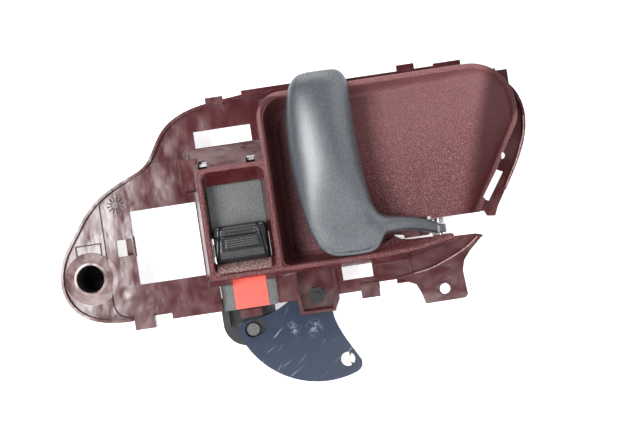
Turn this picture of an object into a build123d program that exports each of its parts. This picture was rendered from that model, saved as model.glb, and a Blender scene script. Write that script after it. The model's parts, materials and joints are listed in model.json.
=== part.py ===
from build123d import *
import math
import os

# Inner door handle assembly: a moulded bezel with a finger dish, a hinged pull handle,
# and a lock slider that turns a bellcrank on the back.
# Millimetres. X runs along the bezel towards the hinge, Z is up, and the cabin is towards -Y.
# The origin is on the axis of the main mounting boss, in the front face of the flange.
# Layout coordinates (across, up) are drawn in front(h); h is the height in front of the flange.

# ---- driving dimensions ----
DATUM_X = 1.6  # layout zero, measured from the main boss axis
DATUM_Z = 1.3
FLANGE_T = 2.2
RIM_H = 12.0  # front rims of the well and the dish stand this far in front of the flange
WALL = 2.4
LIP_H = 3.0
LIP_W = 1.8
SKIRT_H = 5.0  # how far the edge skirt reaches behind the flange
BEAD_DROP = 0.6  # centre of the rounded rim rolls, below the rim level
RAISED_H = 1.4  # step from the lobe up to the main plate

# main boss and fixing holes
BOSS_R = 14.0
BOSS_BORE_R = 8.6
BOSS_SEAT_H = -23.0
BOSS_SCREW_R = 3.2
BOSS_FRONT_H = 3.5
BOSS_FOOT_R = 16.4  # the boss flares to this radius where it meets the flange
BOSS_BACK_H = -26.0
TAB_HOLE = (216.0, -39.8)
TAB_HOLE_R = 3.3
RIGHT_HOLE = (263.2, 37.3)
RIGHT_HOLE_R = 2.2

# finger dish
DISH_LEFT = 119.3
DISH_TOP = 92.8
DISH_RIGHT = 271.5
DISH_SHOULDER = 59.0
DISH_LOW = -10.7
DISH_FOOT_X = 229.3
DISH_FLOOR_H = -16.0  # floor level at the left end; it rises towards the hinge
DISH_FLOOR_SLOPE = 8.6  # degrees
DISH_MOUTH_LOW = 4.6  # lower edge of the dish right of the handle, where it is open
DISH_OPEN_X = 190.0  # the bottom wall of the dish stops here
DISH_CUT_X = 247.5  # and starts again here

# lock well
WELL_LEFT = 76.5
WELL_RIGHT = 115.0
WELL_TOP = 53.3
WELL_LOW = -11.0

# lock slider: rest is the lower end of its travel
SLIDER_X = (77.1, 111.7)
SLIDER_Z = (-34.0, 49.0)
SLIDER_H = (-5.2, -3.4)
FLAG_X = (85.0, 106.0)
FLAG_Z = (-33.8, -13.7)
KNOB_X = (77.6, 111.4)
ARM_H = (-15.0, -12.6)
STUD = (93.2, -48.1)
STUD_R = 3.9
STUD_FRONT_H = -8.0

COVER_X = (69.8, 115.0)
COVER_Z = (12.0, 60.0)
COVER_H = (-9.0, -7.2)
SCREW_SPOTS = [(72.2, 17.0), (72.2, 55.0)]
SCREW_R = 1.4
DETENT_X = (90.0, 98.5)

# bellcrank, behind the flange
CRANK_H = (-10.6, -8.2)
PIVOT = (136.0, -32.3)
ROD_HOLE = (149.7, -75.3)
ROD_HOLE_R = 4.5
SLOT_HALF = 5.0
POST_R = 3.2
BUSH_R = 4.6

# pull handle hinge, a vertical pin at the right
HINGE_X = 219.0
HINGE_H = -5.5
HINGE_PIN_R = 1.5
HINGE_BARREL_R = 3.8
BARREL_Z = (-5.0, 0.3)
PIN_TOP = 8.6
TAIL_END_H = -24.0
FIT = 0.05  # running clearance of shafts in their holes, on the radius
HANDLE_BACK_H = 13.8
HANDLE_CROWN_H = 27.0


def front(h):
    """Sketch plane that faces the cabin, h in front of the flange face: (across, up)."""
    return Plane(origin=(DATUM_X, -h, DATUM_Z), x_dir=(1, 0, 0), z_dir=(0, -1, 0))


def side(x):
    """Sketch plane across the bezel at x, normal towards -X: (height h, up)."""
    return Plane(origin=(DATUM_X + x, 0, DATUM_Z), x_dir=(0, -1, 0), z_dir=(-1, 0, 0))


def level(z):
    """Horizontal sketch plane at z, normal downwards: (across, height h)."""
    return Plane(origin=(DATUM_X, 0, DATUM_Z + z), x_dir=(1, 0, 0), z_dir=(0, 0, -1))


def slab(x, z, h, corner=0.0, mode=Mode.ADD):
    """Block over (low, high) ranges across, up and forward, with rounded upright corners."""
    with BuildSketch(front(h[0])) as face:
        with Locations(((x[0] + x[1]) / 2, (z[0] + z[1]) / 2)):
            if corner:
                RectangleRounded(x[1] - x[0], z[1] - z[0], corner)
            else:
                Rectangle(x[1] - x[0], z[1] - z[0])
    extrude(face.sketch, amount=h[1] - h[0], mode=mode)


def prism(points, h, mode=Mode.ADD):
    """Straight-sided outline drawn on the front and extruded over the height range h."""
    with BuildSketch(front(h[0])) as face:
        with BuildLine():
            Polyline(*points, close=True)
        make_face()
    extrude(face.sketch, amount=h[1] - h[0], mode=mode)


def disc(centre, radius, h, mode=Mode.ADD):
    """Cylinder that points at the cabin."""
    with BuildSketch(front(h[0])) as face:
        with Locations(centre):
            Circle(radius)
    extrude(face.sketch, amount=h[1] - h[0], mode=mode)


def upright(x, h, radius, z, mode=Mode.ADD):
    """Vertical cylinder about the point (x, h) between the levels z."""
    with BuildSketch(level(z[1])) as face:
        with Locations((x, h)):
            Circle(radius)
    extrude(face.sketch, amount=z[1] - z[0], mode=mode)


def across(points, x, mode=Mode.ADD):
    """Outline in (height h, up), extruded across the bezel over the range x."""
    with BuildSketch(side(x[1])) as face:
        with BuildLine():
            Polyline(*points, close=True)
        make_face()
    extrude(face.sketch, amount=x[1] - x[0], mode=mode)


def frustum(low_points, high_points, h, mode=Mode.ADD):
    """Straight-sided loft between two outlines with matching corners."""
    with BuildSketch(front(h[0])) as low:
        with BuildLine():
            Polyline(*low_points, close=True)
        make_face()
    with BuildSketch(front(h[1])) as high:
        with BuildLine():
            Polyline(*high_points, close=True)
        make_face()
    loft([low.sketch, high.sketch], ruled=True, mode=mode)


def rectangle_points(x, z):
    """Corners of an upright rectangle, in order."""
    return [(x[0], z[0]), (x[1], z[0]), (x[1], z[1]), (x[0], z[1])]


def dish_section(depth, left, top, right, low, grow=0.0):
    """Outline of the dish at a share of its depth, pulled in by the four insets."""
    rise = math.radians(DISH_FLOOR_SLOPE * depth)
    h = RIM_H + (DISH_FLOOR_H - RIM_H) * depth
    if grow:
        h = h - WALL * depth
    plane = Plane(
        origin=(DATUM_X + DISH_LEFT, -h, DATUM_Z),
        x_dir=(math.cos(rise), -math.sin(rise), 0),
        z_dir=(-math.sin(rise), -math.cos(rise), 0),
    )
    x0 = left - grow
    x1 = DISH_RIGHT - DISH_LEFT - right + grow
    foot = DISH_FOOT_X - DISH_LEFT - right + grow
    z0 = DISH_LOW + low - grow
    z1 = DISH_TOP - top + grow
    shoulder = DISH_SHOULDER - 0.4 * top
    with BuildSketch(plane) as face:
        with BuildLine():
            FilletPolyline(
                (x0, z0),
                (x0, z1),
                (x1, z1),
                (x1, shoulder),
                (foot, z0),
                radius=[4 + grow, 14 + grow, 24 + grow, 12 + grow, 6 + grow],
                close=True,
            )
        make_face()
    return face.sketch


def dish_body(grow):
    """The dish as a smooth bowl; with grow it is the outside of its shell."""
    sections = [
        dish_section(0.0, 0, 0, 0, 0, grow),
        dish_section(0.55, 1.6, 1.2, 4.0, 1.0, grow),
        dish_section(0.88, 3.6, 3.0, 11.0, 2.6, grow),
        dish_section(1.0, 8.0, 7.0, 24.0, 6.0, grow),
    ]
    return sections


# ---- bezel housing: one moulding ----
LOBE = [(20, -31.3), (7, -30.3), (-7.7, -25.3), (-17.6, -14.5), (-20.4, 0), (-16.7, 13.3)]
LOBE += [(-8, 26.7), (2, 40), (14.3, 50), (31, 58), (41.5, 63.5), (49, 74), (56.5, 84.5)]
LOBE += [(66, 91), (83, 96), (108, 98.7)]
NOSE = [(228, 98.7), (245, 95.6), (258, 91.5), (268, 86), (276, 78), (280.6, 66), (279, 48)]
NOSE += [(272.2, 32.3), (262.3, 15.8)]
NOSE_FOOT = [(262.3, 15.8), (256.5, 6.6), (253.8, 0.5), (248.8, 1.2), (DISH_CUT_X, 4.0)]
# gap between the dish and the lower rail, where the arm of the handle passes
GAP_TOP = [(DISH_CUT_X, DISH_MOUTH_LOW), (206, DISH_MOUTH_LOW), (206, -5.2), (199, -5.2)]
GAP_TOP += [(195, -2.9), (DISH_OPEN_X, -2.2)]
GAP_LOW = [(DISH_OPEN_X, -2.7), (194, -5.1), (199, -6.0), (208, -6.3), (216, -6.6), (225, -6.0)]
RAIL_END = [(226, -8.2), (240, -8.5), (244.6, -10), (235, -18.5), (230.5, -24), (228.8, -30)]
RAIL_END += [(229.8, -45.5), (228, -47.3), (203, -47.5), (201, -40), (198.6, -34.6), (194, -32.4)]
RAIL_END += [(187, -32.4), (187, -29.6)]
LOW_EDGE = [(176, -29.6), (176, -33.5), (112.0, -33.5), (112.0, -14.5), (76.8, -14.5)]
LOW_EDGE += [(76.8, -33.5), (45, -33.5), (45, -29.8), (34.5, -29.8), (20, -31.3)]
FOOT = NOSE_FOOT + GAP_TOP + GAP_LOW + RAIL_END + LOW_EDGE
# lower rail: its inner edge at the flange and at the rim, its outer edge at both
RAIL_INNER_LOW = list(reversed(GAP_LOW)) + [(184, -9.9), (113, -9.9)]
RAIL_INNER_HIGH = [(225, -6.0), (216, -7.6), (208, -9.2), (199, -10.4), (194, -10.7)]
RAIL_INNER_HIGH += [(DISH_OPEN_X, -10.7), (184, -10.7), (113, -10.7)]
RAIL_OUTER_HIGH = [(113, -13.2), (185, -13.2), (196, -13.0), (208, -11.5), (216, -9.6), (225, -7.2)]
RAIL_OUTER_LOW = [(113, -18.4), (185, -18.6), (196, -17.8), (208, -15.2), (219, -12.2), (225, -8.4)]
RAIL_GROOVE = [(196.4, -14.4), (197.4, -14.4), (199.0, -26.0), (197.9, -26.0)]
RAIL_LIP = [(187, -29.6), (187, -28.3), (200, -26.6), (210, -24.8), (219.6, -21.3), (228, -17.9)]
RAIL_LIP += [(235, -13.9), (240, -9.6), (244.6, -10), (235, -16.5), (228, -20.5), (219.6, -23.6)]
RAIL_LIP += [(210, -27.2), (200, -29.0)]
DISH_ROLL = [(117.2, -12), (117.2, 94.4), (273.1, 94.4), (273.1, 58.6), (240.4, 5.2)]
WELL_ROLL = [(74.9, -12), (74.9, 54.5), (117.2, 54.5)]
RAIL_ROLL = [(74.9, -12), (196, -12), (208, -10.6), (217, -8.9), (225, -7.4)]
PLATE_EDGE = [(21, -28.0), (17, -27.7), (14.2, -26.4), (12.2, -24.2), (11, -21.4), (10.6, -18.0)]
PLATE_EDGE += [(10.6, 42.5), (11.8, 45), (15, 47.3), (24, 52.5), (43, 62)]
GROOVE_W = 1.0
GROOVE_DEPTH = 1.2
SWITCH_X = (28.0, 69.5)
SWITCH_Z = (-9.3, 36.7)
SNAP_WINDOW_X = (17.0, 26.7)
SNAP_WINDOW_Z = (9.7, 20.0)
SNAP_RAMP = [(21.9, -8.6), (28.4, -3.4), (28.4, -1.8), (26.9, -1.8), (21.9, -6.6)]
SMALL_OPENING_X = (74.6, 110.4)
SMALL_OPENING_Z = (69.6, 80.0)
RAIL_WINDOW_X = (154.0, 172.9)
RAIL_WINDOW_Z = (-25.5, -17.0)
BOX_OUTLINE = [(123.4, -12), (123.6, -33), (124.8, -42.8), (146.4, -43.2), (150, -36), (150, -12)]
BOX_POCKET = [(125.6, -16), (125.8, -33), (126.9, -41), (145.4, -41.3), (148, -35.4), (148, -16)]
BOX_FLOOR_H = (-7.0, -5.0)
FLAG_NOTCH_X = (84.6, 106.6)
SLANT_SLOT = [(257.6, 29.6), (262.6, 27), (251.2, 10.4), (246.2, 13.2)]
CLIP_SLOTS = [(75.4, 80.9), (105.4, 110.9)]
CLIP_Z = (55.8, 60.6)
TOP_TABS = [(85, 96, 99.8), (108, 141, 101.2), (206, 217, 102.4), (229, 246, 100.2)]
TOP_TABS += [(262, 267, 91.6)]
LOW_TABS = [(21.3, 34.2, -37.2), (164, 175.6, -38.4)]
PAD_SPOTS = [(146.0, 94.4), (166.0, 94.4)]
PAD_R = 1.3


def bezel_face(h):
    """The whole outline of the moulding, as a face at height h."""
    with BuildSketch(front(h)) as face:
        with BuildLine():
            Spline(*LOBE)
            Line(LOBE[-1], NOSE[0])
            Spline(*NOSE)
            Polyline(*FOOT)
        make_face()
    return face.sketch


def bead(points, radii, size):
    """Rounded roll along a rim: points are (across, up), at the level of the rims."""
    path_plane = front(RIM_H - BEAD_DROP)
    with BuildLine(path_plane) as path:
        FilletPolyline(*points, radius=radii)
    with BuildSketch(Plane(origin=path.line @ 0, z_dir=path.line % 0)) as section:
        Circle(size)
    sweep(section.sketch, path=path.line)


def inset(points, width):
    """The same points moved sideways, to the right of their direction of travel."""
    moved = []
    for k, (x, z) in enumerate(points):
        x0, z0 = points[max(k - 1, 0)]
        x1, z1 = points[min(k + 1, len(points) - 1)]
        run = math.dist((x0, z0), (x1, z1))
        moved.append((x + width * (z1 - z0) / run, z - width * (x1 - x0) / run))
    return moved


with BuildPart() as housing:
    # skirt and lip along the lobe, the top and the nose
    with BuildSketch(front(-SKIRT_H)):
        with BuildLine():
            inner_lobe = inset(LOBE, LIP_W)
            inner_nose = inset(NOSE, LIP_W)
            Spline(*LOBE)
            Line(LOBE[-1], NOSE[0])
            Spline(*NOSE)
            Line(NOSE[-1], inner_nose[-1])
            Spline(*reversed(inner_nose))
            Line(inner_nose[0], inner_lobe[-1])
            Spline(*reversed(inner_lobe))
            Line(inner_lobe[0], LOBE[0])
        make_face()
    extrude(amount=SKIRT_H + LIP_H)

    # flange
    extrude(bezel_face(-FLANGE_T), amount=FLANGE_T)

    # raised main plate, right of the lobe, with a groove along its foot
    prism(PLATE_EDGE + [(47, 65), (113, 65), (113, -29.2)], (0, RAISED_H))
    prism(PLATE_EDGE + inset(PLATE_EDGE, -GROOVE_W)[::-1], (-GROOVE_DEPTH, 0), mode=Mode.SUBTRACT)

    # dish shell, open at the lower right
    loft(dish_body(WALL + 0.8))
    prism([(DISH_CUT_X, -30)] + GAP_TOP + [(DISH_OPEN_X, -30)], (-30, RIM_H + 1), mode=Mode.SUBTRACT)
    loft(dish_body(0.0), mode=Mode.SUBTRACT)

    # lower rail below the dish, with the flange and outer lip under it
    prism([(184, -9.9)] + GAP_LOW + RAIL_END + [(184, -29.6)], (-FLANGE_T, 0))
    frustum(RAIL_OUTER_LOW + RAIL_INNER_LOW, RAIL_OUTER_HIGH + RAIL_INNER_HIGH, (0, RIM_H))
    prism(RAIL_LIP, (0, LIP_H))
    prism(RAIL_GROOVE, (-0.8, 6), mode=Mode.SUBTRACT)

    # lock well, a tapered block with the panel sloping away above it
    frustum(
        rectangle_points((69.6, 116.5), (-18.3, 69.4)),
        rectangle_points((73.3, 119.3), (-13.2, 55.8)),
        (0, RIM_H),
    )
    slab((63.4, 75.0), (43.8, 63.2), (0, 9.0))
    slab((65.4, 73.0), (43.0, 49.8), (-1, 7.5), mode=Mode.SUBTRACT)
    with BuildSketch(front(1.0)) as well_floor:
        with Locations(((WELL_LEFT + 112.4) / 2, (45.0 - 4.3) / 2)):
            RectangleRounded(112.4 - WELL_LEFT, 45.0 + 4.3, 2.5)
    with BuildSketch(front(RIM_H)) as well_mouth:
        with Locations(((WELL_LEFT + WELL_RIGHT) / 2, (WELL_TOP + WELL_LOW) / 2)):
            RectangleRounded(WELL_RIGHT - WELL_LEFT, WELL_TOP - WELL_LOW, 5.0)
    loft([well_floor.sketch, well_mouth.sketch], ruled=True, mode=Mode.SUBTRACT)
    slab((WELL_LEFT, 112.4), (-4.3, 45.0), (-12, 1.0), mode=Mode.SUBTRACT)
    slab((WELL_LEFT, 112.4), (-14.6, 50.0), (-12, -0.01), mode=Mode.SUBTRACT)

    # guide walls behind the well, either side of the slider
    for z in ((0.6, 8.6), (19.2, 66)):
        slab((SLIDER_X[0] - 2.6, SLIDER_X[0] - 0.4), z, (-7.2, -FLANGE_T))
    slab((SLIDER_X[1] + 0.4, SLIDER_X[1] + 2.6), (-10, 66), (-7.2, -FLANGE_T))
    slab((SLIDER_X[0] - 2.6, SLIDER_X[1] + 2.6), (50, 66), (-FLANGE_T, 0))
    for spot in SCREW_SPOTS:
        disc(spot, 2.5, (COVER_H[1], 0))
        disc(spot, SCREW_R, (-12, -3.0), mode=Mode.SUBTRACT)

    # notch for the lower end of the slider
    slab((76.8, 112.0), (-36, -14.5), (-FLANGE_T - 0.1, RAISED_H + 0.1), mode=Mode.SUBTRACT)
    slab(FLAG_NOTCH_X, (-36, -13.6), (-FLANGE_T - 0.1, 9.0), mode=Mode.SUBTRACT)

    # keeper bar behind the lower end of the slider, with the tab below it
    slab((113.6, 117.5), (-33.4, -26), (-7.4, -FLANGE_T))
    slab((84, 117.5), (-33.4, -30.2), (-7.4, -5.8))
    slab((87, 101), (-39.6, -33.0), (-7.4, -5.8))
    slab((87, 101), (-39.6, -34.6), (-7.4, -3.0))

    # rounded rolls on the rims of the dish, the well and the lower rail
    bead(DISH_ROLL, [14, 26, 14], 1.75)
    bead(WELL_ROLL, [5.5], 1.55)
    bead(RAIL_ROLL, [30, 60, 60], 1.3)
    for spot in PAD_SPOTS:
        disc(spot, PAD_R, (RIM_H, RIM_H + 2), mode=Mode.SUBTRACT)

    # openings through the plate
    slab(SWITCH_X, SWITCH_Z, (-10, 10), mode=Mode.SUBTRACT)
    slab(SNAP_WINDOW_X, SNAP_WINDOW_Z, (-10, 10), mode=Mode.SUBTRACT)
    with BuildSketch(level(21.2)) as snap_ramp:
        with BuildLine():
            Polyline(*SNAP_RAMP, close=True)
        make_face()
    extrude(snap_ramp.sketch, amount=12.7)
    slab(SMALL_OPENING_X, SMALL_OPENING_Z, (-10, 10), mode=Mode.SUBTRACT)
    slab(RAIL_WINDOW_X, RAIL_WINDOW_Z, (-10, 10), mode=Mode.SUBTRACT)
    prism(SLANT_SLOT, (-20, 13), mode=Mode.SUBTRACT)
    for slot in CLIP_SLOTS:
        slab(slot, CLIP_Z, (-3, 13), mode=Mode.SUBTRACT)

    # main boss
    disc((-DATUM_X, -DATUM_Z), BOSS_R, (BOSS_BACK_H, 0))
    with BuildSketch(front(0)) as boss_foot:
        with Locations((-DATUM_X, -DATUM_Z)):
            Circle(BOSS_FOOT_R)
    with BuildSketch(front(BOSS_FRONT_H)) as boss_top:
        with Locations((-DATUM_X, -DATUM_Z)):
            Circle(BOSS_BORE_R + 1.6)
    loft([boss_foot.sketch, boss_top.sketch], ruled=True)
    disc((-DATUM_X, -DATUM_Z), BOSS_BORE_R, (BOSS_SEAT_H, 10), mode=Mode.SUBTRACT)
    disc((-DATUM_X, -DATUM_Z), BOSS_SCREW_R, (-30, 0), mode=Mode.SUBTRACT)

    # fixing holes, each in a thin pad
    disc(TAB_HOLE, TAB_HOLE_R + 1.4, (0, 0.6))
    disc(TAB_HOLE, TAB_HOLE_R, (-10, 10), mode=Mode.SUBTRACT)
    disc(RIGHT_HOLE, RIGHT_HOLE_R, (-20, 13), mode=Mode.SUBTRACT)

    # pivot box below the rail
    prism(BOX_OUTLINE, (BOX_FLOOR_H[0], 1.6))
    prism(BOX_POCKET, (BOX_FLOOR_H[1], 13), mode=Mode.SUBTRACT)
    disc(PIVOT, POST_R + FIT, (-12, 0), mode=Mode.SUBTRACT)

    # relief in the lower edge of the dish for the handle arm, closed by a web behind it
    slab((205, 214.2), (4, 6.2), (-9, 0), mode=Mode.SUBTRACT)
    slab((196, 212), (-5.2, 8.0), (-7.2, -5.0))

    # hinge lugs above and below the barrel
    slab((214.4, 223.6), (DISH_MOUTH_LOW, 9.6), (-10.0, -2.4))
    slab((214.4, 223.6), (-10.6, -6.2), (-10.0, 1.0))
    upright(HINGE_X, HINGE_H, HINGE_PIN_R, (-14, PIN_TOP), mode=Mode.SUBTRACT)

    # locating tabs on the edges
    for x0, x1, z1 in TOP_TABS:
        slab((x0, x1), (z1 - 5.5, z1), (-3.5, 1.8))
    slab((267.5, 274.2), (79, 90.2), (-3.5, 1.2))
    for x0, x1, z0 in LOW_TABS:
        slab((x0, x1), (z0, z0 + 9.5), (-6, 1.4))
        slab((x0 + 1.6, x1 - 1.6), (z0 + 1.6, z0 + 6.5), (-7, 0.2), mode=Mode.SUBTRACT)
housing.part.label = "bezel_housing"


# ---- pull handle ----
HANDLE_LEFT = [(157, -9.6), (151, -9.4), (146, -6.0), (140.2, 4.5), (136.2, 19), (133.6, 40)]
HANDLE_LEFT += [(132.9, 60), (134.0, 80), (137.6, 96.5), (142.5, 102.4), (150, 104.3)]
HANDLE_RIGHT = [(162, 104.3), (170, 102.3), (174.0, 96.5), (174.2, 80), (174.2, 62), (176.3, 33)]
HANDLE_RIGHT += [(178.5, 17), (183.5, 11.2), (194, 8.9), (207, 6.0), (215.5, 2.8), (219, 0.3)]
HANDLE_FOOT = [(219, 0.3), (221.8, -1.4), (221.4, -4.2), (214, -4.3), (204, -2.2), (192, 0.0)]
HANDLE_FOOT += [(185.5, 0.2), (181.5, -4.6), (176, -8.4), (168, -9.6), (157, -9.6)]
# seen from below: the outer face bows towards the cabin and the arm dives to the hinge
HANDLE_TOP_VIEW = [(130, 15.5), (134, 19.5), (142, 24.6), (152, HANDLE_CROWN_H), (164, 25.8)]
HANDLE_TOP_VIEW += [(176, 22.6), (188, 18.4), (200, 13.4), (211, 6.0), (219, -0.8), (224, -5.0)]
HANDLE_BACK_VIEW = [(224, -10.0), (216, -6.5), (208, 0.4), (199, 7.0), (188, 12.0)]
HANDLE_BACK_VIEW += [(176, HANDLE_BACK_H)]
# hollow in the back of the paddle
CORE_FRONT_VIEW = [(147, -4.5), (139.5, 14), (136.6, 42), (136.4, 66), (139.4, 92), (150, 100.4)]
CORE_FRONT_VIEW += [(163, 100.2), (170.4, 92), (170.6, 60), (172.6, 28), (172, 0), (162, -6.2)]
CORE_TOP_VIEW = [(130, 14.0), (136, 18.0), (144, 22.0), (153, 24.0), (164, 22.8), (180, 18.2)]

with BuildPart() as handle_core:
    with BuildSketch(front(0)):
        with BuildLine():
            Spline(*CORE_FRONT_VIEW, periodic=True)
        make_face()
    extrude(amount=40)
    with BuildSketch(level(120)) as core_view:
        with BuildLine():
            Spline(*CORE_TOP_VIEW)
            Polyline(CORE_TOP_VIEW[-1], (180, 5), (130, 5), CORE_TOP_VIEW[0])
        make_face()
    extrude(core_view.sketch, amount=140, mode=Mode.INTERSECT)

with BuildPart() as pull_handle:
    with BuildSketch(front(-12)):
        with BuildLine():
            Spline(*HANDLE_LEFT)
            Line(HANDLE_LEFT[-1], HANDLE_RIGHT[0])
            Spline(*HANDLE_RIGHT)
            Spline(*HANDLE_FOOT)
        make_face()
    extrude(amount=45)
    with BuildSketch(level(120)) as top_view:
        with BuildLine():
            Spline(*HANDLE_TOP_VIEW)
            Line(HANDLE_TOP_VIEW[-1], HANDLE_BACK_VIEW[0])
            Spline(*HANDLE_BACK_VIEW)
            Polyline(HANDLE_BACK_VIEW[-1], (130, HANDLE_BACK_H), HANDLE_TOP_VIEW[0])
        make_face()
    extrude(top_view.sketch, amount=140, mode=Mode.INTERSECT)
    add(handle_core.part, mode=Mode.SUBTRACT)
    # room for the spring, which sits on the barrel
    upright(HINGE_X, HINGE_H, HINGE_BARREL_R + 0.5, (BARREL_Z[1], 8), mode=Mode.SUBTRACT)
    # hinge barrel and the short tail that pulls the latch rod
    upright(HINGE_X, HINGE_H, HINGE_BARREL_R, BARREL_Z)
    with BuildSketch(level(-1.4)) as tail:
        with BuildLine():
            Polyline(
                (HINGE_X - 3.4, HINGE_H),
                (HINGE_X + 3.4, HINGE_H),
                (HINGE_X + 2.2, TAIL_END_H),
                (HINGE_X - 6.0, TAIL_END_H),
                close=True,
            )
        make_face()
    extrude(tail.sketch, amount=3.4)
    upright(HINGE_X - 2.0, TAIL_END_H + 4.0, 2.2, (-6, 0), mode=Mode.SUBTRACT)
    upright(HINGE_X, HINGE_H, HINGE_PIN_R + FIT, (-8, 3), mode=Mode.SUBTRACT)
pull_handle.part.label = "pull_handle"

with BuildPart() as hinge_pin:
    upright(HINGE_X, HINGE_H, HINGE_PIN_R, (-12.6, PIN_TOP))
hinge_pin.part.label = "hinge_pin"

with BuildPart() as pin_push_nut:
    upright(HINGE_X, HINGE_H, 3.0, (-11.6, -10.7))
    upright(HINGE_X, HINGE_H, HINGE_PIN_R, (-12, -10), mode=Mode.SUBTRACT)
pin_push_nut.part.label = "pin_push_nut"

with BuildPart() as return_spring:
    upright(HINGE_X, HINGE_H, 3.3, (0.8, 4.2))
    upright(HINGE_X, HINGE_H, 2.2, (0, 5), mode=Mode.SUBTRACT)
return_spring.part.label = "handle_return_spring"

with BuildPart() as bump_pads:
    for spot in PAD_SPOTS:
        disc(spot, PAD_R, (RIM_H, HANDLE_BACK_H - 0.4))
bump_pads.part.label = "handle_bump_pads"

with BuildPart() as latch_rod_clip:
    upright(HINGE_X - 2.0, TAIL_END_H + 4.0, 3.6, (-1.3, 0.6))
    upright(HINGE_X - 2.0, TAIL_END_H + 4.0, 2.2, (-6.6, 0.6))
    upright(HINGE_X - 2.0, TAIL_END_H + 4.0, 1.3, (-8, 2), mode=Mode.SUBTRACT)
latch_rod_clip.part.label = "latch_rod_clip"

# ---- lock slider ----
with BuildPart() as slider_plate:
    slab(SLIDER_X, SLIDER_Z, SLIDER_H, corner=1.0)
slider_plate.part.label = "lock_slider_plate"

with BuildPart() as lock_flag:
    slab(FLAG_X, FLAG_Z, (SLIDER_H[1], SLIDER_H[1] + 0.6))
lock_flag.part.label = "lock_flag"

KNOB_PROFILE = [(-3.4, -3.8), (1.5, -3.8), (7.2, -2.2), (9.0, 1.2), (8.6, 5.2), (7.4, 9.6)]
KNOB_PROFILE += [(4.4, 11.8), (3.2, 14.6), (4.0, 16.8), (2.6, 19.3), (-3.4, 19.3)]
with BuildPart() as lock_knob:
    across(KNOB_PROFILE, KNOB_X)
    fillet(lock_knob.edges().filter_by(Axis.X).group_by(Axis.Y)[0], 1.5)
lock_knob.part.label = "lock_knob"

with BuildPart() as slider_arm:
    with BuildSketch(front(ARM_H[0])):
        with BuildLine():
            Polyline((86.5, -57.8), (108.7, -52), (108.7, -26), (74.6, -26), (74.6, -44.6))
            ThreePointArc((74.6, -44.6), (78.2, -52.8), (86.5, -57.8))
        make_face()
    extrude(amount=ARM_H[1] - ARM_H[0])
    slab((76.4, 79.7), (-44, -26), (ARM_H[1], SLIDER_H[0]))
    disc(STUD, 2.0, (-20, 0), mode=Mode.SUBTRACT)
slider_arm.part.label = "lock_slider_arm"

with BuildPart() as drive_stud:
    disc(STUD, STUD_R, (ARM_H[1], STUD_FRONT_H))
    disc(STUD, 2.0, (ARM_H[0] - 1.6, ARM_H[1]))
drive_stud.part.label = "drive_stud"

with BuildPart() as stud_washer:
    disc(STUD, 4.4, (ARM_H[0] - 0.9, ARM_H[0]))
    disc(STUD, 2.0, (-20, 0), mode=Mode.SUBTRACT)
stud_washer.part.label = "stud_washer"

# ---- bellcrank ----
STUD_REACH = math.dist(PIVOT, STUD)
STUD_LEVEL = STUD[1] - PIVOT[1]
STUD_OFFSET = PIVOT[0] - STUD[0]
SLOT_MIN = STUD_OFFSET - 0.8
SLOT_MAX = STUD_REACH + 0.4
SLOT_PLAY = SLOT_MAX - SLOT_MIN
SLOT_ANGLE = math.degrees(math.atan2(-STUD_LEVEL, STUD_OFFSET))
SLOT_CENTRE = (
    PIVOT[0] - STUD_OFFSET * (SLOT_MIN + SLOT_MAX) / 2 / STUD_REACH,
    PIVOT[1] + STUD_LEVEL * (SLOT_MIN + SLOT_MAX) / 2 / STUD_REACH,
)

with BuildPart() as bellcrank:
    with BuildSketch(front(CRANK_H[0])):
        with BuildLine():
            ThreePointArc((83.5, -48.6), (121.0, -85.2), (153.8, -84.3))
            Spline((153.8, -84.3), (157.6, -81.4), (158.2, -77.0))
            Spline((158.2, -77.0), (151.5, -64.6), (146.6, -53.8), (144.6, -39.2))
            Line((144.6, -39.2), (146.6, -34.6))
            ThreePointArc((146.6, -34.6), (138.4, -21.6), (126.0, -28.0))
            Spline((126.0, -28.0), (118, -33.6), (108, -38.8), (98, -41.3), (88.4, -42.2))
            Spline((88.4, -42.2), (84.4, -44.2), (83.5, -48.6))
        make_face()
        with Locations(PIVOT):
            Circle(BUSH_R, mode=Mode.SUBTRACT)
        with Locations(ROD_HOLE):
            Circle(ROD_HOLE_R, mode=Mode.SUBTRACT)
        with Locations(SLOT_CENTRE):
            SlotCenterToCenter(SLOT_PLAY, 2 * SLOT_HALF, rotation=SLOT_ANGLE, mode=Mode.SUBTRACT)
    extrude(amount=CRANK_H[1] - CRANK_H[0])
bellcrank.part.label = "lock_bellcrank"

with BuildPart() as crank_bush:
    disc(PIVOT, BUSH_R + 1.6, (CRANK_H[0] - 1.0, CRANK_H[0]))
    disc(PIVOT, BUSH_R, (CRANK_H[0], CRANK_H[1] + 0.6))
    disc(PIVOT, POST_R + FIT, (-20, 0), mode=Mode.SUBTRACT)
crank_bush.part.label = "bellcrank_bush"

with BuildPart() as lock_rod_clip:
    disc(ROD_HOLE, ROD_HOLE_R + 1.5, (CRANK_H[0] - 1.2, CRANK_H[0]))
    disc(ROD_HOLE, ROD_HOLE_R, (CRANK_H[0], CRANK_H[1] + 0.5))
    disc(ROD_HOLE, 2.0, (-20, 0), mode=Mode.SUBTRACT)
lock_rod_clip.part.label = "lock_rod_clip"

with BuildPart() as pivot_post:
    with BuildSketch(front(BOX_FLOOR_H[1])):
        with Locations(PIVOT):
            RegularPolygon(4.9, 6, major_radius=False)
    extrude(amount=2.6)
    disc(PIVOT, POST_R, (-14.6, BOX_FLOOR_H[1]))
    disc(PIVOT, 2.4, (BOX_FLOOR_H[1], -0.6))
pivot_post.part.label = "pivot_post"

with BuildPart() as post_retainer:
    disc(PIVOT, 6.0, (-12.8, -11.9))
    disc(PIVOT, POST_R, (-20, 0), mode=Mode.SUBTRACT)
post_retainer.part.label = "post_retainer"

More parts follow.
